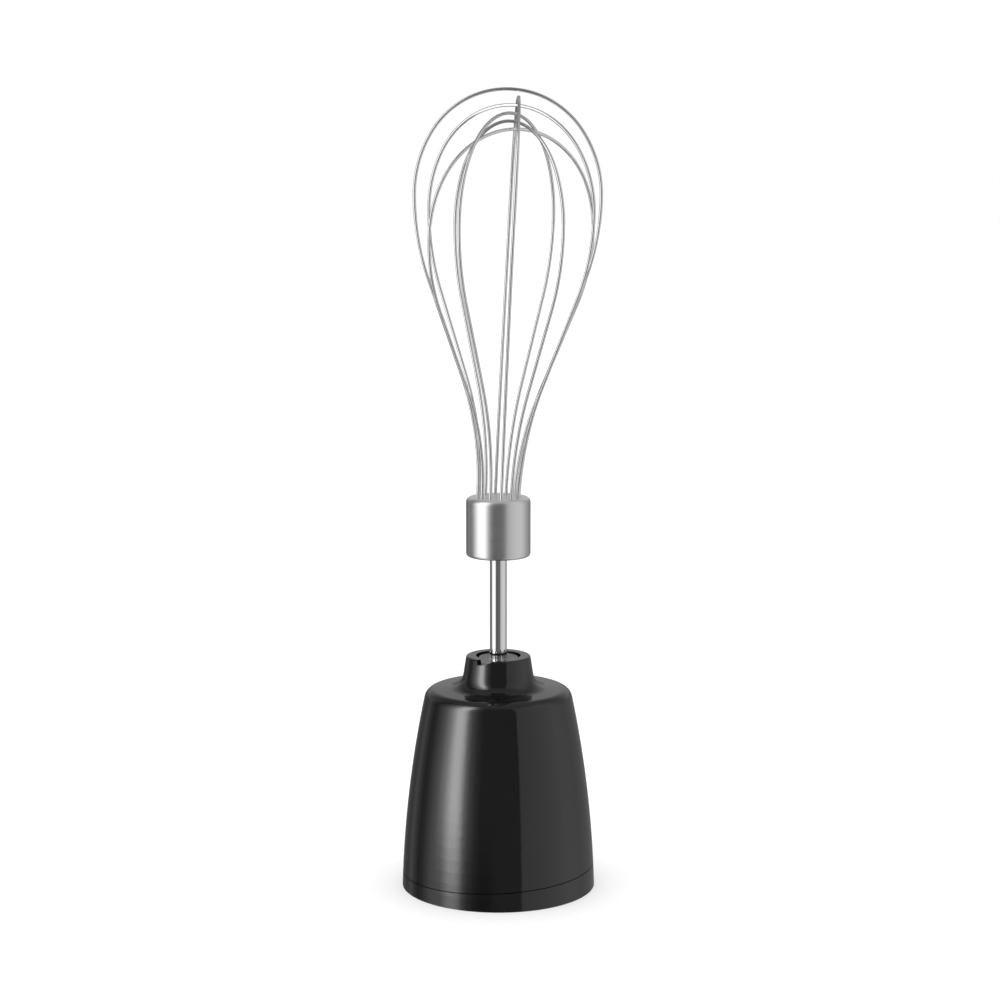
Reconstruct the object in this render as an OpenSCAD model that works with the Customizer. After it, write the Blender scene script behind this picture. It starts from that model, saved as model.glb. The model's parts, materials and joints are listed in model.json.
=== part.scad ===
// Whisk attachment of a hand blender: a reduction gearbox that locks onto the blender's
// motor body, and a balloon whisk whose splined shaft plugs into the gearbox's neck.
// Millimetres, +Z up. The origin is the centre of the rim that it stands on.

/* [Gearbox housing] */
// Diameter of the wide end, where the motor body locks on
base_d = 58.2; // [57.6:0.2:58.8]
// Diameter of the housing where the shoulder rounds over
shoulder_d = 44.4; // [44:0.2:45.2]
// Height of the side, up to where the shoulder rounds over
side_h = 57.9; // [57.5:0.1:58.3]
// Height of the top of the neck above the rim
neck_z = 70.5; // [70.2:0.1:71]
// Outer diameter of the neck at its top
neck_d = 19.4; // [19:0.2:20]
// Bulge radius of the housing's side, seen in section
side_bulge_r = 330; // [300:10:400]
// Height of the seam between housing and base ring, at the axis
seam_z = 5.6; // [5:0.1:6]
// Tilt of that seam, rising towards +X
seam_tilt = 2.6; // [0:0.2:3]

/* [Planetary gear] */
// Tooth module
gear_module = 0.5; // [0.5]
// Teeth on the pinion that the motor turns
sun_teeth = 12; // [12]
// Teeth on each planet gear
planet_teeth = 30; // [30]
// Length of the planet teeth along the axis
gear_face = 8; // [6:0.5:8]

/* [Whisk] */
// Diameter of the whisk's shaft
shaft_d = 5.1; // [5:0.05:5.15]
// Diameter of the steel ferrule
ferrule_d = 19.2; // [19:0.2:20]
// Height of the ferrule's lower face above the rim
ferrule_z = 100.7; // [99.1:0.2:100.9]
// Length of the ferrule
ferrule_h = 17.8; // [17:0.2:18]
// Diameter of the steel wire
wire_d = 0.95; // [0.8:0.05:1.1]
// Radius of the circle of wire holes in the ferrule
wire_circle_r = 6.2; // [6:0.1:6.6]
// Radius of the balloon, at the centre of the outer wire
balloon_r = 27.25; // [26:0.25:28.5]
// Height of the outer loop's top, at the centre of the wire
balloon_top_z = 237.75; // [236:0.25:240]
// Step down from each loop's top to the next one's
loop_step = 2.3; // [2:0.1:2.5]

/* [Hidden] */
$fn = 96;

// A cut that goes through a face runs this far past it
past = 0.5;

// Housing and base ring
base_r = base_d / 2;
shoulder_r = shoulder_d / 2;
corner_r = 3.3;
shoulder_slope = 3.2;
neck_r = neck_d / 2;
neck_lean = 8;
neck_flare_r = 5;
neck_rim_round = 0.6;
seam_gap = 0.25;
skirt_bore_r = 25.8;
skirt_roof_z = 23;
gear_bore_r = 20.3;
gear_bore_wall = 1.5;
gear_stop_r = 19.2;
gear_stop_z = 35.3;
pocket_roof_z = 42;
pocket_top_r = 23;
pocket_foot_r = 24.9;
void_roof_z = 57.2;
bearing_tube_r = 10.2;
bearing_tube_z = 46.4;
bearing_bore_r = 8;
lip_z = 65;
lip_bore_r = 6.7;
roof_rib_t = 1.5;
roof_rib_count = 6;
notch_azimuth = 243;
notch_w = 4.8;
notch_h = 1.4;
notch_depth = 1.5;
ring_bore_r = 24;
ring_spigot_r = 25.7;
ring_spigot_z = 12;
bead_r = 26.1;
bead_z = 10.5;
bead_h = 1.2;
ring_bore_h = 7;
bayonet_count = 3;
bayonet_entry_turn = 12;
bayonet_lock_turn = 26;
bayonet_depth = 1;
bayonet_z = 3.2;
bayonet_h = 2.4;

// Cover that closes the gear space, and its screws
cover_r = 25.5;
cover_z = 20;
cover_t = skirt_roof_z - cover_z;
cover_rim_r = 20.1;
cover_rim_bore_r = 18.9;
cover_rim_h = 1.7;
screw_circle_r = 23.1;
screw_azimuths = [90, 210, 330];
screw_boss_r = 2.4;
screw_boss_h = 12.8;
// the bosses stop this far short of the cover
screw_boss_gap = 0.3;
screw_hole_r = 1.25;
screw_r = 1.2;
screw_l = 10;
screw_head_r = 2.2;
screw_head_h = 1.3;

// Gears
planet_count = 3;
ring_teeth = sun_teeth + 2 * planet_teeth;
pressure_angle = 20;
addendum = 0.8 * gear_module;
dedendum = 1.2 * gear_module;
tooth_thinning = 0.08;
planet_orbit_r = gear_module * (sun_teeth + planet_teeth) / 2;
ring_gear_r = 20.2;
ring_gear_z = cover_z + cover_t + cover_rim_h + 0.1;
ring_gear_h = gear_stop_z - ring_gear_z - 0.1;
key_r = 21.1;
key_w = 4;
key_slot_r = 21.3;
key_slot_w = 4.3;
key_azimuths = [30, 150, 270];
planet_z = 26;
planet_hub_r = 2.8;
planet_hub_h = 0.4;
planet_pin_r = 1.5;
planet_bore_r = 1.55;
flank_steps = 4;

// Input side: coupling, pinion shaft, bushing
coupling_r = 8.2;
coupling_z = 8;
coupling_top_z = 18.5;
coupling_floor_z = 13.2;
drive_socket_r = 3.6;
drive_lobe_r = 1.1;
drive_lobe_count = 6;
input_shaft_r = 2.5;
input_bushing_r = 5;
input_bushing_bore_r = 2.55;
input_bushing_flange_r = 6.5;
input_bushing_z = 19.6;
input_flange_t = 1;
circlip_z = 18.8;
circlip_t = 0.6;
circlip_groove_r = 2.1;
circlip_r = 4.2;
thrust_washer_t = 0.4;
pinion_z = 24.6;
pinion_top_z = 34.8;
pilot_r = 1.5;
pilot_top_z = 38.2;

// Output side: carrier, socket, bearing
carrier_z = 34.9;
carrier_t = 4.1;
carrier_r = 15;
carrier_hub_r = 7.8;
carrier_top_z = 45.4;
carrier_recess_z = 40.6;
retaining_plate_z = 24.95;
retaining_plate_t = 0.55;
retaining_plate_r = 13.2;
retaining_plate_bore_r = 7.4;
socket_r = 5.8;
socket_z = 40.8;
socket_top_z = 70;
socket_floor_z = 46.8;
socket_bore_r = shaft_d / 2 + 0.07;
spline_count = 12;
groove_r = 0.45;
groove_circle_r = shaft_d / 2 + 0.2;
spline_rib_r = 0.34;
cross_pin_r = 1;
cross_pin_z = 43;
output_bushing_bore_r = 5.85;
output_bushing_z = 46.9;
output_bushing_top_z = 56.4;
seal_z = 61;
seal_h = 3.6;
seal_bore_r = 6.1;
clip_z = 58.4;
clip_wire_r = 0.4;
clip_leg_r = 0.36;
clip_ring_r = 5.35;
clip_leg_x = shaft_d / 2 + 0.05 + clip_leg_r;
clip_slot_h = 1.1;

// Whisk
shaft_r = shaft_d / 2;
shaft_z = 47;
shaft_top_z = ferrule_z + 12.6;
shaft_end_chamfer = 0.4;
groove_top_z = 71.8;
groove_tip_h = 1.6;
clip_groove_r = 2.05;
clip_groove_h = 1.2;
ferrule_r = ferrule_d / 2;
ferrule_top_z = ferrule_z + ferrule_h;
ferrule_wall = 0.7;
ferrule_top_round = 1.5;
ferrule_foot_round = 1;
ferrule_foot_bore_r = 8.2;
ferrule_base_t = 2;
wire_r = wire_d / 2;
wire_sides = 8;
// the eight-sided tube has the round wire's cross-section area
wire_fill = 1.054;
wire_hole_clearance = 0.1;
holder_gap = 0.05;
wire_end_z = ferrule_z + 5;
loop_count = 6;
// each loop's plane, and how far its ends in the ferrule are turned from it
loop_turns = [0, 90, 150, 60, 120, 30];
end_turn = 8;
// the loops are formed by hand: each is twisted a little, its crown leans towards +X, and
// its middle bows that way
loop_twists = [0, -1, -2, -2, 3, 0];
loop_leans = [2.5, 6, 3, 3.5, 3, 5.5];
loop_bows = [1.25, -0.25, 1.5, 0.5, 0.75, 0.75];
loop_swell = 0.2;
neck_bend_z = 118.9;
neck_bend_r = 103.6;
belly_bend_r = 73.8;
bend_ease = 0.055;
crown_bend_r = 34;
belly_z = 207.4;

// Points along a circular arc about [cx, cy], from angle a0 to a1
function arc(cx, cy, r, a0, a1, n) =
    [for (i = [0:n]) let (a = a0 + (a1 - a0) * i / n) [cx + r * cos(a), cy + r * sin(a)]];

// Involute function of an angle in degrees, itself in degrees
function involute(a) = tan(a) * 180 / PI - a;

// Outline of a spur gear: widen is added to the tooth thickness at the pitch circle
function gear_outline(teeth, outward, inward, widen) =
    let (
        pitch_r = gear_module * teeth / 2,
        involute_r = pitch_r * cos(pressure_angle),
        tip_r = pitch_r + outward,
        root_r = pitch_r - inward,
        start_r = max(involute_r, root_r),
        half = 90 / teeth + widen / pitch_r * 90 / PI + involute(pressure_angle),
        radii = [for (i = [0:flank_steps]) start_r + (tip_r - start_r) * i / flank_steps],
        turns = [for (r = radii) half - involute(acos(involute_r / r))],
        root_turn = root_r < involute_r ? turns[0] - 1.5 : turns[0]
    )
    [
        for (k = [0:teeth - 1]) let (c = 360 * k / teeth) each [
            [root_r * cos(c - root_turn), root_r * sin(c - root_turn)],
            for (i = [0:flank_steps])
                [radii[i] * cos(c - turns[i]), radii[i] * sin(c - turns[i])],
            for (i = [flank_steps:-1:0])
                [radii[i] * cos(c + turns[i]), radii[i] * sin(c + turns[i])],
            [root_r * cos(c + root_turn), root_r * sin(c + root_turn)]
        ]
    ];

// Side of the housing in section: one long arc from the rim to the shoulder
side_lean = atan((base_r - shoulder_r) / side_h);
side_chord = sqrt(pow(base_r - shoulder_r, 2) + pow(side_h, 2));
side_half = asin(side_chord / 2 / side_bulge_r);
side_c = [
    (base_r + shoulder_r) / 2 - side_bulge_r * cos(side_half) * cos(side_lean),
    side_h / 2 - side_bulge_r * cos(side_half) * sin(side_lean)
];
side_points =
    arc(side_c[0], side_c[1], side_bulge_r, side_lean - side_half, side_lean + side_half, 16);

// Corner that runs on from the side and ends on the shoulder's slope
corner_start = side_lean + side_half;
corner_c = [shoulder_r - corner_r * cos(corner_start), side_h - corner_r * sin(corner_start)];
corner_steps = 10;
corner_points = [
    for (i = [1:corner_steps])
        let (a = corner_start + (90 - shoulder_slope - corner_start) * i / corner_steps)
            [corner_c[0] + corner_r * cos(a), corner_c[1] + corner_r * sin(a)]
];
corner_end = corner_points[corner_steps - 1];

// Flare that joins the shoulder's slope to the neck's leaning wall, tangent to both
wall_offset = neck_r + neck_z * tan(neck_lean) + neck_flare_r / cos(neck_lean);
shoulder_offset =
    corner_end[1] + corner_end[0] * tan(shoulder_slope) + neck_flare_r / cos(shoulder_slope);
flare_c_r =
    (wall_offset - shoulder_offset * tan(neck_lean)) / (1 - tan(neck_lean) * tan(shoulder_slope));
flare_c_z = shoulder_offset - flare_c_r * tan(shoulder_slope);
flare_points = arc(flare_c_r, flare_c_z, neck_flare_r, 270 - shoulder_slope, 180 + neck_lean, 12);
rim_points = arc(neck_r - neck_rim_round, neck_z - neck_rim_round, neck_rim_round, neck_lean, 90, 6);

module housing_section() {
    polygon(concat(
        [[0, 0]],
        side_points,
        corner_points,
        flare_points,
        rim_points,
        [[0, neck_z]]
    ));
}

// Half-space above (or below) the tilted seam
module above_seam(offset_z) {
    rotate([0, -seam_tilt, 0])
        translate([-base_d, -base_d, seam_z + offset_z])
            cube([2 * base_d, 2 * base_d, 2 * neck_z]);
}

module housing_hollow_section() {
    // skirt, open to the blender's motor body
    translate([0, -past])
        square([skirt_bore_r, skirt_roof_z + past]);
    // groove for the base ring's snap bead
    polygon([
        [skirt_bore_r - past, bead_z - bead_h],
        [bead_r + 0.15, bead_z - 0.2],
        [bead_r + 0.15, bead_z + 0.2],
        [skirt_bore_r - past, bead_z + bead_h]
    ]);
    // gear space and the stop that the ring gear is clamped against
    square([gear_bore_r, gear_stop_z]);
    square([gear_stop_r, bearing_tube_z]);
    // pocket between the gear wall and the outer shell
    polygon([
        [gear_bore_r + gear_bore_wall, skirt_roof_z - past],
        [pocket_foot_r, skirt_roof_z - past],
        [pocket_top_r, pocket_roof_z],
        [gear_bore_r + gear_bore_wall, pocket_roof_z]
    ]);
    // space around the bearing tube
    translate([bearing_tube_r, bearing_tube_z - past])
        square([gear_stop_r - bearing_tube_r, void_roof_z - bearing_tube_z + past]);
    // bearing bore, and the lip over the seal
    translate([0, bearing_tube_z - past])
        square([bearing_bore_r, lip_z - bearing_tube_z + past]);
    square([lip_bore_r, neck_z + past]);
}

module gearbox_housing() {
    color([0.06, 0.06, 0.065])
    difference() {
        union() {
            difference() {
                rotate_extrude()
                    difference() {
                        housing_section();
                        housing_hollow_section();
                    }
                // keyways that stop the ring gear turning
                for (a = key_azimuths)
                    rotate([0, 0, a])
                        translate([gear_bore_r - 1, -key_slot_w / 2, skirt_roof_z - past])
                            cube([
                                key_slot_r - gear_bore_r + 1, key_slot_w,
                                gear_stop_z - skirt_roof_z + past
                            ]);
            }
            for (a = screw_azimuths)
                rotate([0, 0, a])
                    translate([screw_circle_r, 0, skirt_roof_z + screw_boss_gap])
                        cylinder(r = screw_boss_r, h = screw_boss_h);
            for (i = [0:roof_rib_count - 1])
                rotate([0, 0, 360 * (i + 0.25) / roof_rib_count])
                    translate([bearing_tube_r - 0.6, -roof_rib_t / 2, bearing_tube_z - 1])
                        cube([
                            gear_stop_r - bearing_tube_r + 1.2, roof_rib_t,
                            void_roof_z - bearing_tube_z + 1.6
                        ]);
        }
        for (a = screw_azimuths)
            rotate([0, 0, a])
                translate([screw_circle_r, 0, skirt_roof_z - past])
                    cylinder(r = screw_hole_r, h = screw_l + 1);
        // everything below the seam belongs to the base ring
        rotate([0, -seam_tilt, 0])
            translate([-base_d, -base_d, seam_z + seam_gap / 2 - 2 * base_d])
                cube(2 * base_d);
        // index notch in the rim of the neck: a steep side, a floor, and a long ramp out
        rotate([0, 0, notch_azimuth])
            translate([neck_r - notch_depth, 0, neck_z])
                rotate([90, 0, 90])
                    linear_extrude(height = notch_depth + 1)
                        polygon([
                            [-notch_w / 2, past],
                            [-notch_w / 2 + 0.2, -notch_h],
                            [-notch_w / 8, -notch_h],
                            [notch_w / 2, -notch_h / 5],
                            [notch_w / 2, past]
                        ]);
    }
}

// Stretch of a bayonet channel in the base ring's bore
module bayonet_cut(turn, z, h) {
    rotate_extrude(angle = turn)
        translate([ring_bore_r - past, z])
            square([bayonet_depth + past, h]);
}

module base_ring() {
    color([0.07, 0.07, 0.075])
    difference() {
        union() {
            // visible lip, cut along the tilted seam
            difference() {
                rotate_extrude()
                    difference() {
                        housing_section();
                        translate([0, -past])
                            square([ring_bore_r, neck_z + 2 * past]);
                    }
                above_seam(-seam_gap / 2);
            }
            // spigot inside the skirt, relieved above the bore, with its snap bead
            rotate_extrude()
                polygon([
                    [ring_bore_r, 0],
                    [ring_spigot_r, 0],
                    [ring_spigot_r, bead_z - bead_h + 0.3],
                    [bead_r, bead_z - 0.1],
                    [bead_r, bead_z + 0.1],
                    [ring_spigot_r, bead_z + 0.7],
                    [ring_spigot_r, ring_spigot_z],
                    [ring_bore_r + 0.5, ring_spigot_z],
                    [ring_bore_r + 0.5, ring_bore_h],
                    [ring_bore_r, ring_bore_h]
                ]);
        }
        // L-shaped channels for the lugs on the motor body: in, then a short turn
        for (i = [0:bayonet_count - 1])
            rotate([0, 0, 360 * i / bayonet_count]) {
                bayonet_cut(bayonet_entry_turn, -past, bayonet_z + bayonet_h + past);
                bayonet_cut(bayonet_lock_turn, bayonet_z, bayonet_h);
            }
    }
}

module gearbox_cover() {
    color([0.16, 0.16, 0.17])
    difference() {
        union() {
            translate([0, 0, cover_z])
                cylinder(r = cover_r, h = cover_t);
            // rim that holds the ring gear against its stop
            translate([0, 0, skirt_roof_z - past])
                cylinder(r = cover_rim_r, h = cover_rim_h + past);
        }
        translate([0, 0, skirt_roof_z])
            cylinder(r = cover_rim_bore_r, h = cover_rim_h + past);
        translate([0, 0, cover_z - past])
            cylinder(r = input_bushing_r, h = cover_t + 2 * past);
        for (a = screw_azimuths)
            rotate([0, 0, a])
                translate([screw_circle_r, 0, cover_z - past])
                    cylinder(r = screw_r + 0.15, h = cover_t + 2 * past);
        // ring of lightening pockets in the underside
        for (i = [0:5])
            rotate([0, 0, 60 * i])
                translate([14, 0, cover_z - past])
                    cylinder(r = 3.2, h = 1.4 + past);
    }
}

module cover_screws() {
    color([0.72, 0.73, 0.75])
    for (a = screw_azimuths)
        rotate([0, 0, a])
            translate([screw_circle_r, 0, cover_z]) {
                difference() {
                    translate([0, 0, -screw_head_h])
                        cylinder(r = screw_head_r, h = screw_head_h);
                    for (turn = [0, 90])
                        rotate([0, 0, turn])
                            translate([-1.3, -0.3, -screw_head_h - past])
                                cube([2.6, 0.6, 0.8 + past]);
                }
                cylinder(r = screw_r, h = screw_l);
            }
}

module input_bushing() {
    color([0.72, 0.5, 0.28])
    difference() {
        union() {
            translate([0, 0, input_bushing_z])
                cylinder(r = input_bushing_r, h = skirt_roof_z - input_bushing_z);
            translate([0, 0, skirt_roof_z])
                cylinder(r = input_bushing_flange_r, h = input_flange_t);
        }
        translate([0, 0, input_bushing_z - past])
            cylinder(r = input_bushing_bore_r, h = 6);
    }
}

module ring_gear() {
    color([0.9, 0.89, 0.85])
    difference() {
        union() {
            translate([0, 0, ring_gear_z])
                cylinder(r = ring_gear_r, h = ring_gear_h);
            for (a = key_azimuths)
                rotate([0, 0, a])
                    translate([ring_gear_r - 1, -key_w / 2, ring_gear_z])
                        cube([key_r - ring_gear_r + 1, key_w, ring_gear_h]);
        }
        translate([0, 0, ring_gear_z - past])
            rotate([0, 0, 180 / ring_teeth])
                linear_extrude(height = ring_gear_h + 2 * past)
                    polygon(gear_outline(ring_teeth, dedendum, addendum, tooth_thinning));
    }
}

module output_bushing() {
    color([0.72, 0.5, 0.28])
    translate([0, 0, output_bushing_z])
        difference() {
            cylinder(r = bearing_bore_r, h = output_bushing_top_z - output_bushing_z);
            translate([0, 0, -past])
                cylinder(r = output_bushing_bore_r, h = output_bushing_top_z - output_bushing_z + 2 * past);
        }
}

module output_seal() {
    color([0.12, 0.12, 0.12])
    rotate_extrude()
        polygon([
            [bearing_bore_r, seal_z],
            [bearing_bore_r, seal_z + seal_h],
            [seal_bore_r, seal_z + seal_h],
            [seal_bore_r, seal_z + seal_h - 0.7],
            [seal_bore_r + 0.9, seal_z + 1.2],
            [seal_bore_r + 0.9, seal_z]
        ]);
}

module drive_coupling() {
    color([0.2, 0.2, 0.21])
    difference() {
        rotate_extrude()
            polygon([
                [0, coupling_z],
                [coupling_r - 0.9, coupling_z],
                [coupling_r, coupling_z + 0.9],
                [coupling_r, coupling_top_z - 3],
                [coupling_r - 2.2, coupling_top_z],
                [0, coupling_top_z]
            ]);
        translate([0, 0, coupling_z - past])
            cylinder(r = drive_socket_r, h = coupling_floor_z - coupling_z + past);
        for (i = [0:drive_lobe_count - 1])
            rotate([0, 0, 360 * (i + 0.5) / drive_lobe_count])
                translate([drive_socket_r, 0, coupling_z - past])
                    cylinder(r = drive_lobe_r, h = coupling_floor_z - coupling_z + past);
        translate([0, 0, coupling_floor_z - past])
            cylinder(r = input_shaft_r, h = coupling_top_z - coupling_floor_z + 2 * past);
    }
}

module input_pinion_shaft() {
    color([0.7, 0.71, 0.73])
    difference() {
        union() {
            translate([0, 0, coupling_floor_z])
                cylinder(r = input_shaft_r, h = pinion_z - coupling_floor_z + 0.2);
            translate([0, 0, pinion_z])
                linear_extrude(height = pinion_top_z - pinion_z)
                    polygon(gear_outline(sun_teeth, addendum, dedendum, -tooth_thinning));
            translate([0, 0, pinion_top_z - 0.2])
                cylinder(r = pilot_r, h = pilot_top_z - pinion_top_z + 0.2);
        }
        translate([0, 0, circlip_z - 0.05])
            difference() {
                cylinder(r = input_shaft_r + 1, h = circlip_t + 0.1);
                translate([0, 0, -past])
                    cylinder(r = circlip_groove_r, h = circlip_t + 2 * past);
            }
    }
}

module input_circlip() {
    color([0.45, 0.46, 0.48])
    translate([0, 0, circlip_z])
        difference() {
            cylinder(r = circlip_r, h = circlip_t);
            translate([0, 0, -past])
                cylinder(r = circlip_groove_r + 0.05, h = circlip_t + 2 * past);
            translate([0, -1.6, -past])
                cube([circlip_r + 1, 3.2, circlip_t + 2 * past]);
        }
}

module input_thrust_washer() {
    color([0.75, 0.76, 0.78])
    translate([0, 0, skirt_roof_z + input_flange_t + 0.1])
        difference() {
            cylinder(r = input_bushing_r - 0.4, h = thrust_washer_t);
            translate([0, 0, -past])
                cylinder(r = input_bushing_bore_r, h = thrust_washer_t + 2 * past);
        }
}

// Planet k stands on its own pin, with a gap between teeth turned to the axis
module planet_gear(k) {
    color([0.92, 0.91, 0.87])
    rotate([0, 0, 360 * k / planet_count])
        translate([planet_orbit_r, 0, 0])
            difference() {
                union() {
                    translate([0, 0, planet_z])
                        rotate([0, 0, 180 / planet_teeth])
                            linear_extrude(height = gear_face)
                                polygon(gear_outline(planet_teeth, addendum, dedendum, -tooth_thinning));
                    translate([0, 0, planet_z - planet_hub_h])
                        cylinder(r = planet_hub_r, h = gear_face + 2 * planet_hub_h);
                }
                translate([0, 0, planet_z - planet_hub_h - past])
                    cylinder(r = planet_bore_r, h = gear_face + 2 * planet_hub_h + 2 * past);
            }
}

module planet_carrier() {
    color([0.88, 0.87, 0.83])
    difference() {
        union() {
            translate([0, 0, carrier_z])
                cylinder(r = carrier_r, h = carrier_t);
            translate([0, 0, carrier_z])
                cylinder(r = carrier_hub_r, h = carrier_top_z - carrier_z);
        }
        translate([0, 0, carrier_z - past])
            cylinder(r = pilot_r + 0.05, h = pilot_top_z - carrier_z + past + 0.3);
        translate([0, 0, carrier_recess_z])
            cylinder(r = socket_r, h = carrier_top_z - carrier_recess_z + past);
        for (k = [0:planet_count - 1])
            rotate([0, 0, 360 * k / planet_count])
                translate([planet_orbit_r, 0, carrier_z - past])
                    cylinder(r = planet_pin_r, h = carrier_t + 2 * past);
        translate([0, 0, cross_pin_z])
            rotate([90, 0, 0])
                cylinder(r = cross_pin_r, h = 2 * carrier_hub_r + 2, center = true);
    }
}

module planet_pins() {
    color([0.78, 0.79, 0.81])
    for (k = [0:planet_count - 1])
        rotate([0, 0, 360 * k / planet_count])
            translate([planet_orbit_r, 0, retaining_plate_z])
                cylinder(r = planet_pin_r, h = carrier_z + carrier_t - retaining_plate_z);
}

module planet_retaining_plate() {
    color([0.7, 0.71, 0.73])
    difference() {
        translate([0, 0, retaining_plate_z])
            cylinder(r = retaining_plate_r, h = retaining_plate_t);
        translate([0, 0, retaining_plate_z - past])
            cylinder(r = retaining_plate_bore_r, h = retaining_plate_t + 2 * past);
        for (k = [0:planet_count - 1])
            rotate([0, 0, 360 * k / planet_count])
                translate([planet_orbit_r, 0, retaining_plate_z - past])
                    cylinder(r = planet_pin_r, h = retaining_plate_t + 2 * past);
    }
}

module output_thrust_washer() {
    color([0.75, 0.76, 0.78])
    translate([0, 0, carrier_top_z])
        difference() {
            cylinder(r = carrier_hub_r, h = thrust_washer_t);
            translate([0, 0, -past])
                cylinder(r = socket_r + 0.05, h = thrust_washer_t + 2 * past);
        }
}

module output_socket() {
    color([0.09, 0.09, 0.095])
    difference() {
        union() {
            difference() {
                translate([0, 0, socket_z])
                    cylinder(r = socket_r, h = socket_top_z - socket_z);
                translate([0, 0, socket_floor_z])
                    cylinder(r = socket_bore_r, h = socket_top_z - socket_floor_z + past);
            }
            // ribs that enter the grooves of the whisk's shaft
            for (i = [0:spline_count - 1])
                rotate([0, 0, 360 * (i + 0.5) / spline_count])
                    translate([groove_circle_r, 0, socket_floor_z - 0.2])
                        cylinder(r = spline_rib_r, h = socket_top_z - socket_floor_z - 1.3, $fn = 24);
        }
        translate([0, 0, cross_pin_z])
            rotate([90, 0, 0])
                cylinder(r = cross_pin_r, h = 2 * socket_r + 2, center = true);
        // groove for the clip, and the slot that lets its leg reach the shaft
        translate([0, 0, clip_z - clip_slot_h / 2])
            difference() {
                cylinder(r = socket_r + 1, h = clip_slot_h);
                translate([0, 0, -past])
                    cylinder(r = clip_ring_r - clip_wire_r - 0.1, h = clip_slot_h + 2 * past);
            }
        translate([clip_leg_x - clip_wire_r - 0.1, -socket_r, clip_z - clip_slot_h / 2])
            cube([socket_r, 2 * socket_r, clip_slot_h]);
    }
}

module socket_cross_pin() {
    color([0.78, 0.79, 0.81])
    translate([0, 0, cross_pin_z])
        rotate([90, 0, 0])
            cylinder(r = cross_pin_r, h = 2 * carrier_hub_r - 0.6, center = true);
}

// Ring of round wire around the socket, with one straight leg beside the shaft
module whisk_retaining_clip() {
    leg_turn = acos(clip_leg_x / clip_ring_r);
    leg_half = clip_ring_r * sin(leg_turn);
    color([0.8, 0.81, 0.83])
    translate([0, 0, clip_z])
        union() {
            rotate([0, 0, leg_turn])
                rotate_extrude(angle = 360 - 2 * leg_turn)
                    translate([clip_ring_r, 0])
                        circle(r = clip_wire_r, $fn = 24);
            translate([clip_leg_x, 0, 0])
                rotate([90, 0, 0])
                    cylinder(r = clip_leg_r, h = 2 * leg_half + clip_leg_r, center = true, $fn = 24);
        }
}

module whisk_shaft() {
    color([0.82, 0.83, 0.85])
    difference() {
        rotate_extrude()
            polygon([
                [0, shaft_z],
                [shaft_r - shaft_end_chamfer, shaft_z],
                [shaft_r, shaft_z + shaft_end_chamfer],
                [shaft_r, clip_z - clip_groove_h / 2],
                [clip_groove_r, clip_z - clip_groove_h / 2],
                [clip_groove_r, clip_z + clip_groove_h / 2],
                [shaft_r, clip_z + clip_groove_h / 2],
                [shaft_r, shaft_top_z],
                [0, shaft_top_z]
            ]);
        // drive grooves, each ending in a pointed arch
        for (i = [0:spline_count - 1])
            rotate([0, 0, 360 * (i + 0.5) / spline_count])
                translate([groove_circle_r, 0, 0]) {
                    translate([0, 0, shaft_z - past])
                        cylinder(r = groove_r, h = groove_top_z - shaft_z + past, $fn = 24);
                    translate([0, 0, groove_top_z])
                        cylinder(r1 = groove_r, r2 = 0.02, h = groove_tip_h, $fn = 24);
                }
    }
}

// Steel cup in section: closed top with rounded edge, foot rolled under
module ferrule_cup_section() {
    foot = arc(
        ferrule_r - ferrule_foot_round, ferrule_z + ferrule_foot_round, ferrule_foot_round, 270, 360, 6
    );
    top = arc(
        ferrule_r - ferrule_top_round, ferrule_top_z - ferrule_top_round, ferrule_top_round, 0, 90, 8
    );
    inner_foot = arc(
        ferrule_r - ferrule_foot_round, ferrule_z + ferrule_foot_round,
        ferrule_foot_round - ferrule_wall, 360, 270, 4);
    inner_top = arc(
        ferrule_r - ferrule_top_round, ferrule_top_z - ferrule_top_round,
        ferrule_top_round - ferrule_wall, 90, 0, 6);
    polygon(concat(
        [[ferrule_foot_bore_r, ferrule_z]],
        foot,
        top,
        [[0, ferrule_top_z], [0, ferrule_top_z - ferrule_wall]],
        inner_top,
        inner_foot,
        [[ferrule_foot_bore_r, ferrule_z + ferrule_wall]]
    ));
}

// Twelve holes on the wire circle, from z up by h
module wire_holes(r, z, h) {
    for (i = [0:2 * loop_count - 1])
        rotate([0, 0, end_turn + 180 * i / loop_count])
            translate([wire_circle_r, 0, z])
                cylinder(r = r, h = h, $fn = 24);
}

module ferrule_cup() {
    color([0.7, 0.71, 0.72])
    difference() {
        rotate_extrude()
            ferrule_cup_section();
        wire_holes(wire_r + wire_hole_clearance, ferrule_top_z - 2 * ferrule_wall, 4 * ferrule_wall);
    }
}

module ferrule_base() {
    color([0.6, 0.61, 0.62])
    translate([0, 0, ferrule_z + ferrule_wall + holder_gap])
        difference() {
            cylinder(r = ferrule_r - ferrule_foot_round - 0.1, h = ferrule_base_t);
            translate([0, 0, -past])
                cylinder(r = shaft_r + holder_gap, h = ferrule_base_t + 2 * past);
        }
}

module wire_holder() {
    holder_z = ferrule_z + ferrule_wall + ferrule_base_t + 2 * holder_gap;
    holder_top_z = ferrule_top_z - ferrule_wall - holder_gap;
    color([0.25, 0.25, 0.26])
    difference() {
        translate([0, 0, holder_z])
            cylinder(r = ferrule_r - ferrule_top_round, h = holder_top_z - holder_z);
        translate([0, 0, holder_z - past])
            cylinder(r = shaft_r + holder_gap, h = shaft_top_z + holder_gap - holder_z + past);
        wire_holes(wire_r + holder_gap, wire_end_z, holder_top_z - wire_end_z + past);
    }
}

// Stations along a bend in the XZ plane: [x, z, heading], the heading measured from +Z
// towards +X. sense is 1 where the wire turns to the left, -1 where it turns to the right.
function bend(cx, cz, r, a0, a1, sense, steps) =
    [for (i = [0:steps]) let (a = a0 + (a1 - a0) * i / steps)
        [cx + r * cos(a), cz + r * sin(a), (sense > 0 ? 0 : 180) - a]];

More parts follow.
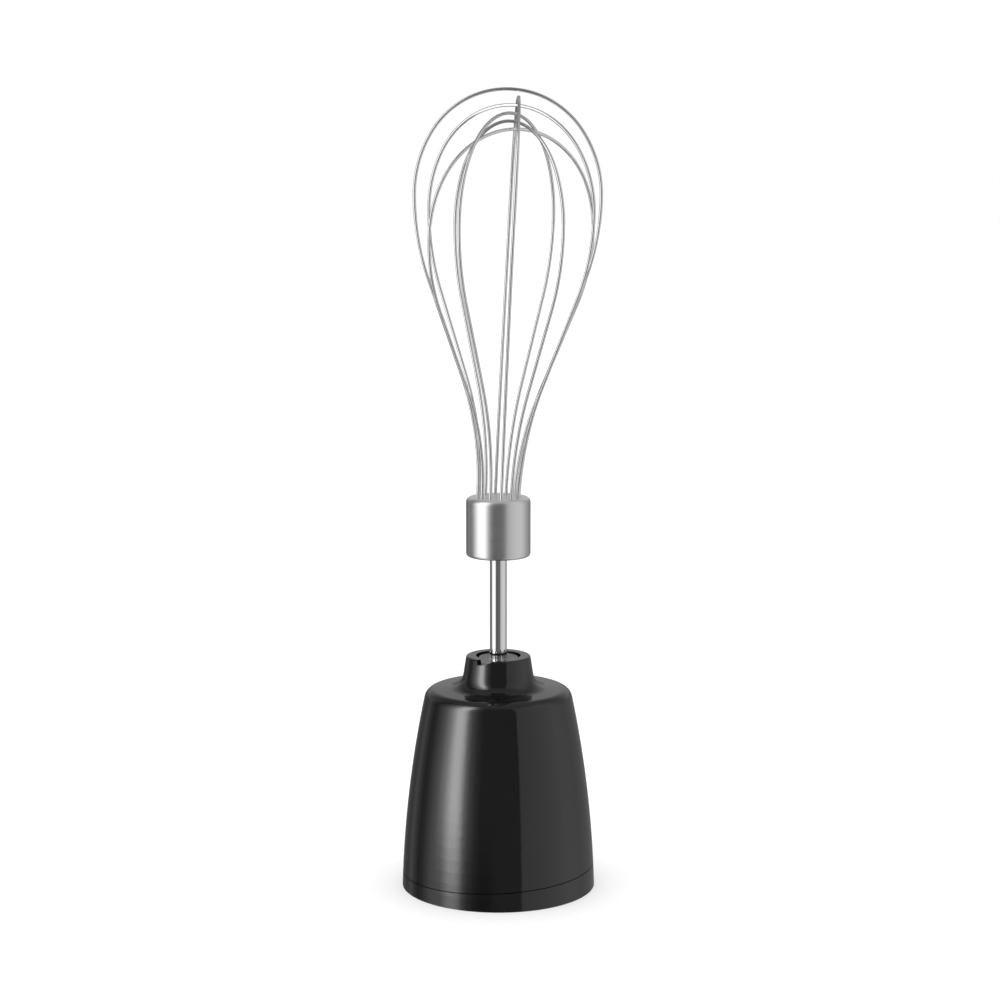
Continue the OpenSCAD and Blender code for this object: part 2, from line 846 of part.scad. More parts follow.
// Stations of loop k, k = 0 for the outermost, from one end in the holder over the top to
// the other: an outward bend, a straight run tangent to both bends, the belly and the crown
function loop_stations(k) =
    let (
        belly_r = balloon_r + loop_swell * k,
        top_z = balloon_top_z - loop_step * k,
        belly_k_z = belly_z - loop_step * k,
        neck_k_r = neck_bend_r * (1 - bend_ease * k),
        belly_k_r = belly_bend_r * (1 - bend_ease * k),
        bends = neck_k_r + belly_k_r,
        across = belly_r - wire_circle_r - bends,
        up = belly_k_z - neck_bend_z,
        run = sqrt(across * across + up * up - bends * bends),
        lean = atan2(across, up) + atan2(bends, run),
        rise = top_z - belly_k_z,
        turn = 90 - 2 * atan((crown_bend_r - rise) / (crown_bend_r - belly_r)),
        top_r = crown_bend_r - (crown_bend_r - belly_r) / cos(turn),
        neck_cx = wire_circle_r + neck_k_r
    )
    concat(
        [[wire_circle_r, wire_end_z, 0]],
        bend(neck_cx, neck_bend_z, neck_k_r, 180, 180 - lean, -1, 4),
        bend(belly_r - belly_k_r, belly_k_z, belly_k_r, -lean, 0, 1, 4),
        bend(belly_r - crown_bend_r, belly_k_z, crown_bend_r, 5, turn - 3, 1, 3),
        bend(0, top_z - top_r, top_r, turn, 180 - turn, 1, 14),
        bend(crown_bend_r - belly_r, belly_k_z, crown_bend_r, 183 - turn, 175, 1, 3),
        bend(belly_k_r - belly_r, belly_k_z, belly_k_r, 180, 180 + lean, 1, 4),
        bend(-neck_cx, neck_bend_z, neck_k_r, lean, 0, -1, 4),
        [[-wire_circle_r, wire_end_z, 180]]
    );

// Azimuth of loop k at a station: the ends' own turn, fading as the loop widens
function azimuth_at(k, x, z) =
    let (
        spread = z < belly_z - loop_step * k ? abs(x) : balloon_r + loop_swell * k,
        twist = loop_twists[k]
    )
    loop_turns[k] + twist + (end_turn - twist) * wire_circle_r / spread;

// How far loop k stands towards +X at height z
function sway_at(k, z) =
    let (climb = max(0, (z - ferrule_top_z) / (balloon_top_z - ferrule_top_z)))
    (loop_leans[k] + 4 * loop_bows[k] * (1 - climb)) * climb;

// One closed tube swept along the stations
module wire_loop(k) {
    stations = loop_stations(k);
    rings = len(stations);
    points = [
        for (s = stations) let (t = azimuth_at(k, s[0], s[1]), sway = sway_at(k, s[1]))
            for (j = [0:wire_sides - 1])
                let (
                    a = 360 * (j + 0.5) / wire_sides,
                    out = wire_r * wire_fill * cos(a),
                    across = wire_r * wire_fill * sin(a),
                    x = s[0] + out * cos(s[2])
                )
                [
                    x * cos(t) - across * sin(t) + sway, x * sin(t) + across * cos(t),
                    s[1] - out * sin(s[2])
                ]
    ];
    sides = [
        for (i = [0:rings - 2]) for (j = [0:wire_sides - 1])
            let (next = (j + 1) % wire_sides)
            [
                i * wire_sides + j, i * wire_sides + next,
                (i + 1) * wire_sides + next, (i + 1) * wire_sides + j
            ]
    ];
    first_end = [for (j = [wire_sides - 1:-1:0]) j];
    last_end = [for (j = [0:wire_sides - 1]) (rings - 1) * wire_sides + j];
    color([0.8, 0.81, 0.82])
        polyhedron(points = points, faces = concat(sides, [first_end, last_end]), convexity = 6);
}

gearbox_housing();
base_ring();
gearbox_cover();
cover_screws();
input_bushing();
ring_gear();
output_bushing();
output_seal();
drive_coupling();
input_pinion_shaft();
input_circlip();
input_thrust_washer();
planet_gear(0);  // planet_gear_1
planet_gear(1);  // planet_gear_2
planet_gear(2);  // planet_gear_3
planet_carrier();
planet_pins();
planet_retaining_plate();
output_thrust_washer();
output_socket();
socket_cross_pin();
whisk_retaining_clip();
whisk_shaft();
ferrule_cup();
ferrule_base();
wire_holder();
wire_loop(0);  // wire_loop_1
wire_loop(1);  // wire_loop_2
wire_loop(2);  // wire_loop_3
wire_loop(3);  // wire_loop_4
wire_loop(4);  // wire_loop_5
wire_loop(5);  // wire_loop_6
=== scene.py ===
"""Looks of a hand blender's whisk attachment: gloss black gearbox, steel ferrule and wire balloon.

The CAD frame holds every size. Here the CAD parts get their materials, the wire loops become
smooth round wire, and a pale studio is set up around the object.
"""

import json
import math

import bpy
import bmesh
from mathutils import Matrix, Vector


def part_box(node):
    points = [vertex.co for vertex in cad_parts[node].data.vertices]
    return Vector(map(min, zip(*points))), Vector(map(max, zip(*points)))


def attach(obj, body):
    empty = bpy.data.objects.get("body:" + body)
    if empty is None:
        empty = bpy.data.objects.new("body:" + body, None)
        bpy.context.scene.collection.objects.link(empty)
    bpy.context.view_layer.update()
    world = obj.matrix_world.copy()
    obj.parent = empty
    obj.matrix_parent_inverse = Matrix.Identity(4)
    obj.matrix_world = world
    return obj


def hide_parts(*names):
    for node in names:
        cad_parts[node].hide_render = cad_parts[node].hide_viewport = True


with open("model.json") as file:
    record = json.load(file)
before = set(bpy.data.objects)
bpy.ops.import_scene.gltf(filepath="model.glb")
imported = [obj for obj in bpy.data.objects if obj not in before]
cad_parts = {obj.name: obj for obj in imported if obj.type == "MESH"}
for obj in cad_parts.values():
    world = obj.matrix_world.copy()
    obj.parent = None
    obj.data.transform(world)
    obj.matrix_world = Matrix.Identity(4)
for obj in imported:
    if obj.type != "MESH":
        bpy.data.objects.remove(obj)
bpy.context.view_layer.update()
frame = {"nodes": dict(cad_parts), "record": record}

# ---------------------------------------------------------------- sizes and levels

# Camera: in front of the object, near the height of its top, looking a little down
CAMERA_PLACE = (0.0005, -0.6896, 0.2218)
CAMERA_PITCH = 8.6
CAMERA_LENS = 84.6
SENSOR_WIDTH = 36.0
CLIP_START = 0.01
CLIP_END = 50.0

# Wire loops, in metres and degrees, as the CAD frame makes them
WIRE_RADIUS = 0.000475
WIRE_CIRCLE = 0.0062
WIRE_END_Z = 0.1057
FERRULE_TOP = 0.1185
BALLOON_RADIUS = 0.02725
BALLOON_TOP = 0.23775
BELLY_Z = 0.2074
NECK_BEND_Z = 0.1189
# Each loop stands a step lower than the one before, is a little wider, and bends tighter
LOOP_COUNT = 6
LOOP_STEP = 0.0023
LOOP_SWELL = 0.0002
BEND_EASE = 0.055
# Radii of the bends from the ferrule to the crown, and the steps that each is drawn with
NECK_BEND = 0.1036
BELLY_BEND = 0.0738
CROWN_BEND = 0.034
NECK_STEPS = 18
BELLY_STEPS = 16
CROWN_STEPS = 14
TOP_STEPS = 30
# Where the crown's bend starts, so that it doesn't repeat the belly's last point
CROWN_START = 2
# Hand forming: each loop's turn round the axis, and its own twist, lean and bow
LOOP_TURNS = (0, 90, 150, 60, 120, 30)
END_TURN = 8.0
LOOP_TWISTS = (0, -1, -2, -2, 3, 0)
LOOP_LEANS = (0.0025, 0.006, 0.003, 0.0035, 0.003, 0.0055)
LOOP_BOWS = (0.00125, -0.00025, 0.0015, 0.0005, 0.00075, 0.00075)
WIRE_SIDES = 20

# Height up to which the standing rim is rubbed
RIM_RUB_HEIGHT = 0.0022
# Turned finishes: how fast the marks change round a ring, and the radius under which they
# change less, so that nothing is divided by 0 on the axis
RING_DRIFT = 1.3
AXIS_GUARD = 0.0005
# Painted highlight on the ferrule's flat top: above this height its colour is blended to a paler
# one than its brushed side, standing in for the light the top catches
PAINTED_HIGHLIGHT_Z = FERRULE_TOP - 0.0008
PAINTED_HIGHLIGHT_EDGE = 0.0006
PAINTED_HIGHLIGHT_COLOUR = (0.93, 0.93, 0.93)

# Studio: radiance seen in reflections, by azimuth in degrees, 0 towards the camera and growing
# to the camera's left
HORIZON = (
    # behind the object, on the right
    (-180, 0.24), (-160, 0.24),
    # the wide dim screen on the right
    (-139, 0.33), (-118, 0.5), (-105, 0.72), (-90, 0.92), (-67, 0.87), (-47, 0.76), (-28.6, 0.7),
    # the dark gap behind the camera
    (-26.8, 0.19), (22, 0.19),
    # the tall softbox on the left, with its soft edges
    (30, 0.42), (38, 1.0), (44, 2.4), (50, 6.6), (55, 8.4), (62, 8.2), (68, 5.6), (74, 3.3),
    (84, 1.45), (94, 0.66), (104, 0.24),
    # a faint panel past the softbox, then behind the object again
    (112, 0.13), (122, 0.27), (130, 0.36), (140, 0.16), (154, 0.14), (180, 0.24),
)
RADIANCE_SCALE = 10.0
OVERHEAD_RADIANCE = 0.45
BACK_RADIANCE = 0.3
DOME_RADIANCE = 1.32
BACKGROUND_RADIANCE = 1.0
# Where each part of the studio fades in, as the share of the direction that points its way
OVERHEAD_UP = (0.72, 0.93)
BACK_AWAY = (0.5, 0.95)
BACK_UP = (0.02, 0.2)
SOFTBOX_LEFT = (0.0, 0.25)
SOFTBOX_FRONT = (-0.1, 0.3)
# Below the horizon the softbox fades out, all but what this loss leaves
SOFTBOX_FOOT = (0.04, 0.34)
SOFTBOX_FOOT_LOSS = 0.78
# Keeps the softbox's glint on thin wire from swamping the pixels beside it
BRIGHTEST_SAMPLE = 1.3

FLOOR_RADIUS = 6.0
FLOOR_SEGMENTS = 96
FLOOR_DARK = (0.72, 0.72, 0.724)
FLOOR_LIGHT = (0.74, 0.74, 0.744)
FLOOR_GLOW = 0.25
WHITE = (1, 1, 1, 1)


# ---------------------------------------------------------------- node helpers

class Nodes:
    """A node tree, with short calls for making and joining its nodes."""

    def __init__(self, tree):
        self.tree = tree

    def node(self, kind, **inputs):
        """A new node, with its inputs set by name (an underscore stands for a space)."""
        made = self.tree.nodes.new(kind)
        for key, value in inputs.items():
            made.inputs[key.replace("_", " ")].default_value = value
        return made

    def link(self, out, into):
        self.tree.links.new(out, into)

    def feed(self, value, into):
        """Gives an input either another node's output or a constant."""
        if isinstance(value, bpy.types.NodeSocket):
            self.link(value, into)
        else:
            into.default_value = value

    def math(self, operation, a, b=0.0):
        made = self.node("ShaderNodeMath")
        made.operation = operation
        self.feed(a, made.inputs[0])
        self.feed(b, made.inputs[1])
        return made.outputs[0]

    def split(self, vector):
        """The X, Y and Z of a vector."""
        made = self.node("ShaderNodeSeparateXYZ")
        self.link(vector, made.inputs[0])
        return tuple(made.outputs)


class Shader(Nodes):
    """A material's node tree, with short calls for the nodes that the finishes share."""

    def __init__(self, name):
        self.material = bpy.data.materials.new(name)
        self.material.use_nodes = True
        super().__init__(self.material.node_tree)
        self.bsdf = self.tree.nodes["Principled BSDF"]

    def place(self):
        """A point's place in the frame at rest, in metres: a finish moves with its piece."""
        return self.node("ShaderNodeTexCoord").outputs["Object"]

    def height(self):
        return self.split(self.place())[2]

    def stretched(self, vector, scale):
        made = self.node("ShaderNodeMapping", Scale=scale)
        self.link(vector, made.inputs["Vector"])
        return made.outputs["Vector"]

    def noise(self, vector, scale, detail=3.0, roughness=0.55):
        made = self.node("ShaderNodeTexNoise", Scale=scale, Detail=detail, Roughness=roughness)
        self.link(vector, made.inputs["Vector"])
        return made.outputs["Fac"]

    def between(self, factor, low, high, start=0.3, end=0.7):
        """A value that goes from low to high as the factor goes from start to end."""
        made = self.node(
            "ShaderNodeMapRange", From_Min=start, From_Max=end, To_Min=low, To_Max=high)
        self.link(factor, made.inputs["Value"])
        return made.outputs["Result"]

    def blend(self, factor, first, second):
        """A colour between two, each one a constant or another node's output."""
        made = self.node("ShaderNodeMix")
        made.data_type = "RGBA"
        for value, into in ((first, made.inputs[6]), (second, made.inputs[7])):
            self.feed((*value, 1) if isinstance(value, tuple) else value, into)
        self.link(factor, made.inputs["Factor"])
        return made.outputs[2]

    def colour(self, value):
        self.link(value, self.bsdf.inputs["Base Color"])

    def rough(self, value):
        self.link(value, self.bsdf.inputs["Roughness"])

    def bump(self, height, strength, distance):
        made = self.node("ShaderNodeBump", Strength=strength, Distance=distance)
        self.link(height, made.inputs["Height"])
        self.link(made.outputs["Normal"], self.bsdf.inputs["Normal"])

    def constant(self, name, value):
        self.bsdf.inputs[name].default_value = value

    def rings(self, lines_per_metre):
        """Coordinates that run round the Z axis, for turned or circularly brushed metal."""
        x, y, z = self.split(self.place())
        squares = self.math("ADD", self.math("MULTIPLY", x, x), self.math("MULTIPLY", y, y))
        radius = self.math("SQRT", squares)
        safe = self.math("MAXIMUM", radius, AXIS_GUARD)
        east = self.math("MULTIPLY", self.math("DIVIDE", x, safe), RING_DRIFT)
        north = self.math("MULTIPLY", self.math("DIVIDE", y, safe), RING_DRIFT)
        outward = self.math("MULTIPLY", radius, lines_per_metre)
        upward = self.math("MULTIPLY", z, lines_per_metre)
        ring = self.node("ShaderNodeCombineXYZ")
        self.link(self.math("ADD", east, outward), ring.inputs[0])
        self.link(north, ring.inputs[1])
        self.link(upward, ring.inputs[2])
        return ring.outputs[0]


# ---------------------------------------------------------------- materials

def gloss_plastic(name, dark, light, roughness, peel=0.05, rubbed_below=None):
    """Moulded plastic: faint colour drift, orange peel, hairline scratches and handling haze.

    roughness is that of the cleanest spots, and peel the strength of the orange peel.
    rubbed_below is the height under which the gloss is dulled by rubbing on worktops.
    """
    s = Shader(name)
    place = s.place()
    s.colour(s.blend(s.noise(place, scale=45.0, detail=2.0), dark, light))
    handled = s.noise(place, scale=120.0, detail=4.0)
    haze = s.between(handled, low=roughness, high=roughness + 0.03)
    hairline = s.noise(s.stretched(place, (1.0, 1.0, 0.12)), scale=5200.0, detail=2.0)
    scratches = s.between(hairline, low=0.0, high=0.02, start=0.6, end=0.8)
    sheen = s.math("ADD", haze, scratches)
    if rubbed_below is not None:
        patches = s.noise(place, scale=900.0, detail=4.0)
        rubs = s.between(patches, low=0.0, high=0.3, start=0.45, end=0.7)
        lowness = s.between(s.height(), low=1.0, high=0.0, start=0.0, end=rubbed_below)
        sheen = s.math("ADD", sheen, s.math("MULTIPLY", rubs, lowness))
    s.rough(sheen)
    s.constant("IOR", 1.5)
    s.constant("Specular IOR Level", 0.5)
    s.bump(s.noise(place, scale=650.0, detail=2.0), strength=peel, distance=0.0002)
    return s.material


def matt_plastic(name, dark, light, roughness):
    """Moulded plastic with the fine grain of a spark-eroded tool. roughness is its range."""
    s = Shader(name)
    place = s.place()
    s.colour(s.blend(s.noise(place, scale=60.0), dark, light))
    s.rough(s.between(s.noise(place, scale=300.0), *roughness))
    s.bump(s.noise(place, scale=900.0, detail=4.0), strength=0.25, distance=0.0002)
    return s.material


def turned_metal(name, dark, light, roughness, lines, marks, painted_highlight_above=None):
    """Metal with tool or brush marks in rings round the axis.

    roughness is its range, lines the marks' count per metre and marks their strength. Above a given
    height, if one is given, the metal's colour is painted paler: a painted highlight on the top.
    """
    s = Shader(name)
    rings = s.rings(lines)
    fine = s.noise(rings, scale=1.0, roughness=0.65)
    coarse = s.noise(rings, scale=0.23, detail=2.0)
    metal = s.blend(s.math("MULTIPLY", s.math("ADD", fine, coarse), 0.5), dark, light)
    # painted highlight: the colour above the given height is blended to a pale one, standing in for
    # the light the flat top catches
    if painted_highlight_above is not None:
        painted_highlight_share = s.between(
            s.height(), low=0.0, high=1.0, start=painted_highlight_above, end=painted_highlight_above + PAINTED_HIGHLIGHT_EDGE)
        metal = s.blend(painted_highlight_share, metal, PAINTED_HIGHLIGHT_COLOUR)
    s.colour(metal)
    s.rough(s.between(coarse, *roughness))
    s.constant("Metallic", 1.0)
    s.bump(fine, strength=marks, distance=0.00005)
    return s.material


def drawn_steel(name, dark, light, roughness):
    """Polished bar with faint marks along its length."""
    s = Shader(name)
    along = s.stretched(s.place(), (1.0, 1.0, 0.03))
    s.colour(s.blend(s.noise(along, scale=900.0), dark, light))
    s.rough(s.between(s.noise(along, scale=2600.0), *roughness))
    s.constant("Metallic", 1.0)
    s.bump(s.noise(along, scale=5200.0, detail=2.0), strength=0.05, distance=0.00005)
    return s.material


def wire_steel(name, dark, light, roughness):
    """Spring wire: draw lines along it and small changes of sheen, placed by the wire's own UVs."""
    s = Shader(name)
    uv = s.node("ShaderNodeTexCoord").outputs["UV"]
    lines = s.noise(s.stretched(uv, (9.0, 60.0, 1.0)), scale=1.0)
    cloud = s.noise(s.stretched(uv, (2.0, 900.0, 1.0)), scale=0.35)
    s.colour(s.blend(cloud, dark, light))
    s.rough(s.between(lines, *roughness))
    s.constant("Metallic", 1.0)
    s.bump(lines, strength=0.12, distance=0.00004)
    return s.material


def sintered_bronze(name, dark, light, roughness):
    """Sintered, oil-filled bronze: open pores and darker oiled patches."""
    s = Shader(name)
    place = s.place()
    s.colour(s.blend(s.noise(place, scale=700.0, detail=5.0), dark, light))
    s.rough(s.between(s.noise(place, scale=1500.0, detail=4.0), *roughness))
    s.constant("Metallic", 1.0)
    s.bump(s.noise(place, scale=4200.0), strength=0.3, distance=0.0001)
    return s.material


def rubber(name, dark, light, roughness):
    """Black nitrile with a dull, dusty bloom."""
    s = Shader(name)
    place = s.place()
    s.colour(s.blend(s.noise(place, scale=240.0, detail=4.0), dark, light))
    s.rough(s.between(s.noise(place, scale=500.0), *roughness))
    s.bump(s.noise(place, scale=1800.0), strength=0.15, distance=0.0001)
    return s.material


def make_materials():
    """The finish of each material slot."""
    return {
        "housing_black": gloss_plastic(
            "housing_gloss", dark=(0.0028, 0.0028, 0.003), light=(0.005, 0.005, 0.0052),
            roughness=0.03),
        "ring_black": gloss_plastic(
            "ring_gloss", dark=(0.0035, 0.0035, 0.0038), light=(0.006, 0.006, 0.0063),
            roughness=0.045, rubbed_below=RIM_RUB_HEIGHT),
        "socket_black": gloss_plastic(
            "socket_satin", dark=(0.075, 0.075, 0.075), light=(0.105, 0.105, 0.105),
            roughness=0.34, peel=0.12),
        "cover_grey": matt_plastic(
            "cover_plastic", dark=(0.07, 0.07, 0.072), light=(0.11, 0.11, 0.113),
            roughness=(0.43, 0.57)),
        "coupling_black": matt_plastic(
            "coupling_plastic", dark=(0.02, 0.02, 0.02), light=(0.045, 0.045, 0.045),
            roughness=(0.38, 0.52)),
        "natural_plastic": matt_plastic(
            "natural_acetal", dark=(0.74, 0.72, 0.65), light=(0.86, 0.85, 0.8),
            roughness=(0.33, 0.47)),
        "holder_grey": matt_plastic(
            "holder_plastic", dark=(0.1, 0.1, 0.1), light=(0.16, 0.16, 0.16),
            roughness=(0.43, 0.57)),
        "sintered_bronze": sintered_bronze(
            "sintered_bronze_finish", dark=(0.36, 0.2, 0.09), light=(0.66, 0.44, 0.22),
            roughness=(0.32, 0.5)),
        "bright_steel": turned_metal(
            "ground_steel", dark=(0.5, 0.5, 0.51), light=(0.66, 0.66, 0.67),
            roughness=(0.18, 0.32), lines=9000.0, marks=0.2),
        "zinc_steel": turned_metal(
            "zinc_plated_steel", dark=(0.46, 0.48, 0.52), light=(0.64, 0.66, 0.7),
            roughness=(0.25, 0.4), lines=4000.0, marks=0.2),
        "spring_steel": turned_metal(
            "oiled_spring_steel", dark=(0.2, 0.2, 0.21), light=(0.34, 0.34, 0.35),
            roughness=(0.25, 0.4), lines=7000.0, marks=0.2),
        "polished_steel": drawn_steel(
            "polished_shaft", dark=(0.6, 0.6, 0.61), light=(0.7, 0.7, 0.71),
            roughness=(0.05, 0.12)),
        # the ferrule's flat top gets a painted highlight, a paler colour above the given height
        "brushed_ferrule": turned_metal(
            "brushed_ferrule_steel", dark=(0.53, 0.53, 0.535), light=(0.63, 0.63, 0.635),
            roughness=(0.27, 0.34), lines=16000.0, marks=0.035, painted_highlight_above=PAINTED_HIGHLIGHT_Z),
        "whisk_wire": wire_steel(
            "whisk_wire_steel", dark=(0.56, 0.56, 0.57), light=(0.72, 0.72, 0.73),
            roughness=(0.13, 0.26)),
        "seal_rubber": rubber(
            "seal_nitrile", dark=(0.012, 0.012, 0.012), light=(0.035, 0.035, 0.035),
            roughness=(0.5, 0.75)),
    }


def dress_cad_nodes(materials):
    """Gives every CAD node the finish of its material slot."""
    for part in frame["record"]["subparts"]:
        obj = frame["nodes"][part["node"]]
        for slot in obj.material_slots:
            slot.material = materials[part["material_slot"]]


# ---------------------------------------------------------------- wire loops

def bend(cx, cz, radius, start, end, steps):
    """Points along a bend in the loop's own plane, from one angle to another about (cx, cz)."""
    points = []
    for i in range(steps + 1):
        angle = math.radians(start + (end - start) * i / steps)
        points.append((cx + radius * math.cos(angle), cz + radius * math.sin(angle)))
    return points


def loop_points(k):
    """Loop k in its own plane: neck bend, straight run, belly and crown, then back down."""
    belly_r = BALLOON_RADIUS + LOOP_SWELL * k
    top = BALLOON_TOP - LOOP_STEP * k
    belly_z = BELLY_Z - LOOP_STEP * k
    neck_bend = NECK_BEND * (1 - BEND_EASE * k)
    belly_bend = BELLY_BEND * (1 - BEND_EASE * k)
    # the straight run is tangent to the neck's bend and the belly's, and lean is its slope
    bends = neck_bend + belly_bend
    across = belly_r - WIRE_CIRCLE - bends
    up = belly_z - NECK_BEND_Z
    run = math.sqrt(across * across + up * up - bends * bends)
    lean = math.degrees(math.atan2(across, up) + math.atan2(bends, run))
    # the crown's bend gives way to the top's where the two touch
    rise = top - belly_z
    turn = 90 - 2 * math.degrees(math.atan((CROWN_BEND - rise) / (CROWN_BEND - belly_r)))
    top_bend = CROWN_BEND - (CROWN_BEND - belly_r) / math.cos(math.radians(turn))
    half = [(WIRE_CIRCLE, WIRE_END_Z)]
    half += bend(WIRE_CIRCLE + neck_bend, NECK_BEND_Z, neck_bend, 180, 180 - lean, NECK_STEPS)
    half += bend(belly_r - belly_bend, belly_z, belly_bend, -lean, 0, BELLY_STEPS)
    half += bend(belly_r - CROWN_BEND, belly_z, CROWN_BEND, CROWN_START, turn, CROWN_STEPS)
    half += bend(0, top - top_bend, top_bend, turn, 90, TOP_STEPS)[1:]
    return half + [(-x, z) for x, z in reversed(half[:-1])]


def azimuth_at(k, x, z):
    """Azimuth of loop k: the ends' own turn, fading as the loop widens."""
    spread = abs(x) if z < BELLY_Z - LOOP_STEP * k else BALLOON_RADIUS + LOOP_SWELL * k
    twist = LOOP_TWISTS[k]
    return math.radians(LOOP_TURNS[k] + twist + (END_TURN - twist) * WIRE_CIRCLE / spread)


def sway_at(k, z):
    """How far hand-formed loop k stands towards +X at height z."""
    climb = max(0.0, (z - FERRULE_TOP) / (BALLOON_TOP - FERRULE_TOP))
    return (LOOP_LEANS[k] + 4 * LOOP_BOWS[k] * (1 - climb)) * climb


def loop_line(k):
    """The centre line of loop k in space."""
    line = []
    for x, z in loop_points(k):
        azimuth = azimuth_at(k, x, z)
        line.append(Vector((x * math.cos(azimuth) + sway_at(k, z), x * math.sin(azimuth), z)))
    return line


def tube_rings(shape, line, side):
    """Rings of vertices round a line, and each one's distance along it.

    side points across the line's start. It is carried along, so the rings don't twist.
    """
    rings = []
    lengths = []
    length = 0.0
    for i, centre in enumerate(line):
        ahead = (line[min(i + 1, len(line) - 1)] - line[max(i - 1, 0)]).normalized()
        normal = side.cross(ahead).normalized()
        side = ahead.cross(normal)
        if i:
            length += (centre - line[i - 1]).length
        lengths.append(length)
        ring = []
        for j in range(WIRE_SIDES):
            angle = 2 * math.pi * j / WIRE_SIDES
            offset = normal * math.cos(angle) + side * math.sin(angle)
            ring.append(shape.verts.new(centre + offset * WIRE_RADIUS))
        rings.append(ring)
    return rings, lengths


def skin_tube(shape, rings, lengths):
    """Smooth faces between the rings and flat ones over the ends, with girth and length as UVs."""
    uv_layer = shape.loops.layers.uv.new("along")
    for i in range(len(rings) - 1):
        for j in range(WIRE_SIDES):
            n = (j + 1) % WIRE_SIDES
            corners = (rings[i][j], rings[i][n], rings[i + 1][n], rings[i + 1][j])
            face = shape.faces.new(corners)
            face.smooth = True
            marks = ((j, i), (j + 1, i), (j + 1, i + 1), (j, i + 1))
            for corner, (girth, station) in zip(face.loops, marks):
                corner[uv_layer].uv = (girth / WIRE_SIDES, lengths[station])
    shape.faces.new(list(reversed(rings[0])))
    shape.faces.new(rings[-1])
    bmesh.ops.recalc_face_normals(shape, faces=shape.faces)


def place_mesh(shape, name, material):
    """Turns a finished bmesh into an object of the scene."""
    mesh = bpy.data.meshes.new(name)
    shape.to_mesh(mesh)
    shape.free()
    mesh.materials.append(material)
    obj = bpy.data.objects.new(name, mesh)
    bpy.context.scene.collection.objects.link(obj)
    return obj


def wire_loop(k, material):
    """A smooth round tube along loop k, in place of the CAD's many-sided one."""
    shape = bmesh.new()
    across = math.radians(LOOP_TURNS[k])
    side = Vector((-math.sin(across), math.cos(across), 0))
    skin_tube(shape, *tube_rings(shape, loop_line(k), side))
    obj = place_mesh(shape, "whisk_wire_%d" % (k + 1), material)
    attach(obj, "whisk")
    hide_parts("wire_loop_%d" % (k + 1))


# ---------------------------------------------------------------- studio

def floor_paper():
    """Pale paper with a faint mottle, lit a little from within so that it stays near white."""
    s = Shader("floor_paper")
    place = s.place()
    s.colour(s.blend(s.noise(place, scale=3.0, detail=2.0), FLOOR_DARK, FLOOR_LIGHT))
    s.rough(s.between(s.noise(place, scale=14.0, detail=2.0), 0.6, 0.75))
    s.constant("Specular IOR Level", 0.2)
    s.constant("Emission Color", WHITE)
    s.constant("Emission Strength", FLOOR_GLOW)
    return s.material


def make_floor():
    """A wide pale floor under the standing rim, left out of the gloss parts' reflections."""
    shape = bmesh.new()
    bmesh.ops.create_circle(
        shape, cap_ends=True, segments=FLOOR_SEGMENTS, radius=FLOOR_RADIUS)
    floor = place_mesh(shape, "studio_floor", floor_paper())
    low, _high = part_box("base_ring")
    floor.location.z = low.z
    floor.visible_glossy = False


class WorldNodes(Nodes):
    """The world's node tree, with short calls for its light."""

    def __init__(self, world):
        world.use_nodes = True
        super().__init__(world.node_tree)
        self.tree.nodes.clear()

    def rise(self, value, start, end):
        """0 below start, 1 above end, with a smooth step between."""
        made = self.node("ShaderNodeMapRange", From_Min=start, From_Max=end)
        made.interpolation_type = "SMOOTHSTEP"
        self.link(value, made.inputs["Value"])
        return made.outputs["Result"]

    def background(self, strength):
        made = self.node("ShaderNodeBackground", Color=WHITE)
        self.feed(strength, made.inputs["Strength"])
        return made.outputs[0]

    def mix(self, factor, first, second):
        made = self.node("ShaderNodeMixShader")
        for out, into in zip((factor, first, second), made.inputs):
            self.link(out, into)
        return made.outputs[0]


def horizon_radiance(w, left, front):
    """Radiance by azimuth, from the HORIZON table."""
    ramp = w.node("ShaderNodeValToRGB")
    stops = ramp.color_ramp.elements
    for degrees, radiance in HORIZON:
        position = degrees / 360.0 + 0.5
        # a new ramp has its two end stops already
        if position == 0.0:
            stop = stops[0]
        elif position == 1.0:
            stop = stops[-1]
        else:
            stop = stops.new(position)
        level = radiance / RADIANCE_SCALE
        stop.color = (level, level, level, 1)
    # the ramp runs once round, from -180 to 180 degrees
    turn = w.math("DIVIDE", w.math("ARCTAN2", left, front), 2 * math.pi)
    w.link(w.math("ADD", turn, 0.5), ramp.inputs["Fac"])
    return w.math("MULTIPLY", ramp.outputs["Color"], RADIANCE_SCALE)


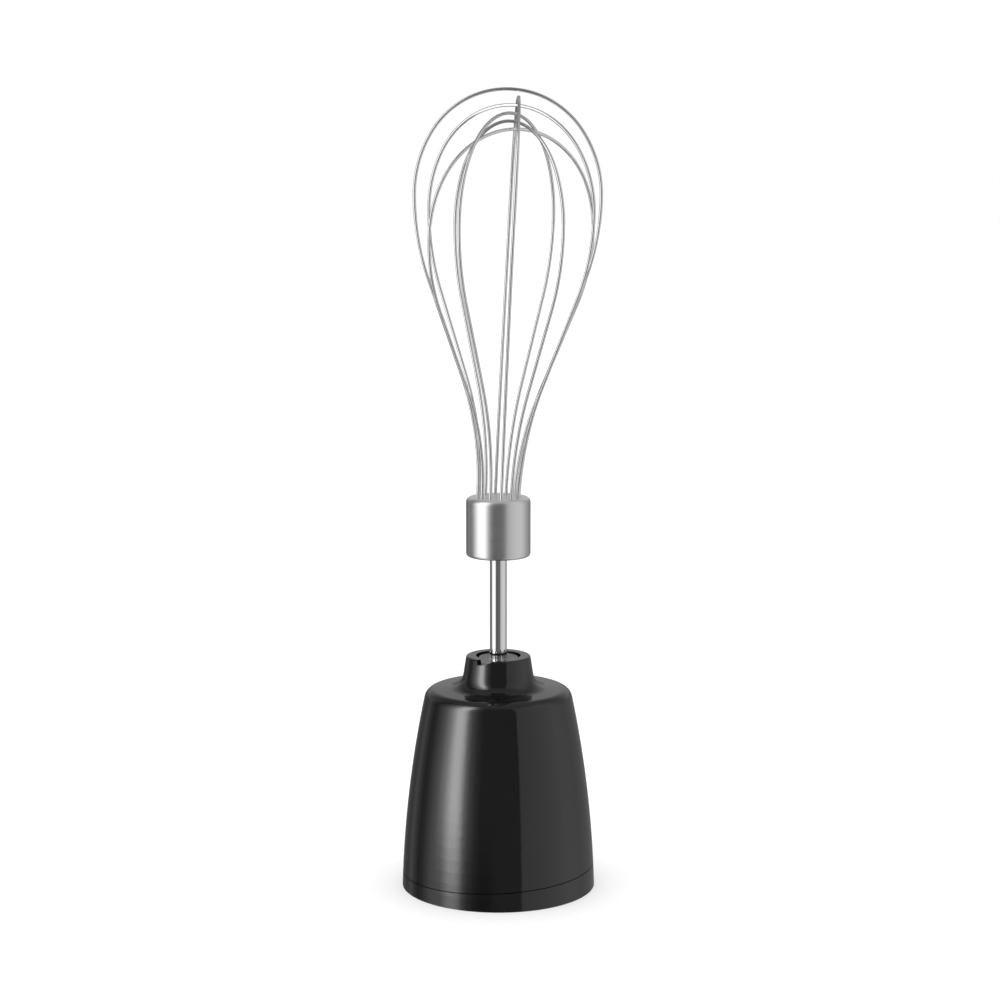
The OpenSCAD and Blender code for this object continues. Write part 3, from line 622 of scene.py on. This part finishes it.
def make_world():
    """An even dome for matt surfaces and the floor, and the softbox and screens for reflections."""
    world = bpy.data.worlds.new("studio")
    bpy.context.scene.world = world
    world.cycles.sampling_method = "NONE"
    w = WorldNodes(world)
    right, back, up = w.split(w.node("ShaderNodeTexCoord").outputs["Generated"])
    left, front, down = (w.math("MULTIPLY", axis, -1.0) for axis in (right, back, up))

    behind = w.math("MULTIPLY", w.rise(back, *BACK_AWAY), w.rise(up, *BACK_UP))
    around = w.math(
        "ADD", horizon_radiance(w, left, front), w.math("MULTIPLY", behind, BACK_RADIANCE))

    softbox = w.math("MULTIPLY", w.rise(left, *SOFTBOX_LEFT), w.rise(front, *SOFTBOX_FRONT))
    dimmed = w.math("MULTIPLY", w.rise(down, *SOFTBOX_FOOT), softbox)
    foot = w.math("SUBTRACT", 1.0, w.math("MULTIPLY", dimmed, SOFTBOX_FOOT_LOSS))

    above = w.rise(up, *OVERHEAD_UP)
    level = w.math("MULTIPLY", w.math("MULTIPLY", around, foot), w.math("SUBTRACT", 1.0, above))
    reflected = w.math("ADD", level, w.math("MULTIPLY", above, OVERHEAD_RADIANCE))

    ray = w.node("ShaderNodeLightPath").outputs
    seen = w.mix(ray["Is Diffuse Ray"], w.background(reflected), w.background(DOME_RADIANCE))
    seen = w.mix(ray["Is Camera Ray"], seen, w.background(BACKGROUND_RADIANCE))
    w.link(seen, w.node("ShaderNodeOutputWorld").inputs[0])


def make_camera():
    data = bpy.data.cameras.new("camera")
    data.lens = CAMERA_LENS
    data.sensor_width = SENSOR_WIDTH
    data.clip_start = CLIP_START
    data.clip_end = CLIP_END
    camera = bpy.data.objects.new("camera", data)
    camera.location = CAMERA_PLACE
    camera.rotation_euler = (math.radians(90 - CAMERA_PITCH), 0, 0)
    bpy.context.scene.collection.objects.link(camera)
    bpy.context.scene.camera = camera


bpy.context.scene.view_settings.view_transform = "Standard"
bpy.context.scene.cycles.sample_clamp_direct = BRIGHTEST_SAMPLE
bpy.context.scene.cycles.sample_clamp_indirect = BRIGHTEST_SAMPLE
make_camera()
finishes = make_materials()
dress_cad_nodes(finishes)
for loop_index in range(LOOP_COUNT):
    wire_loop(loop_index, finishes["whisk_wire"])
make_floor()
make_world()
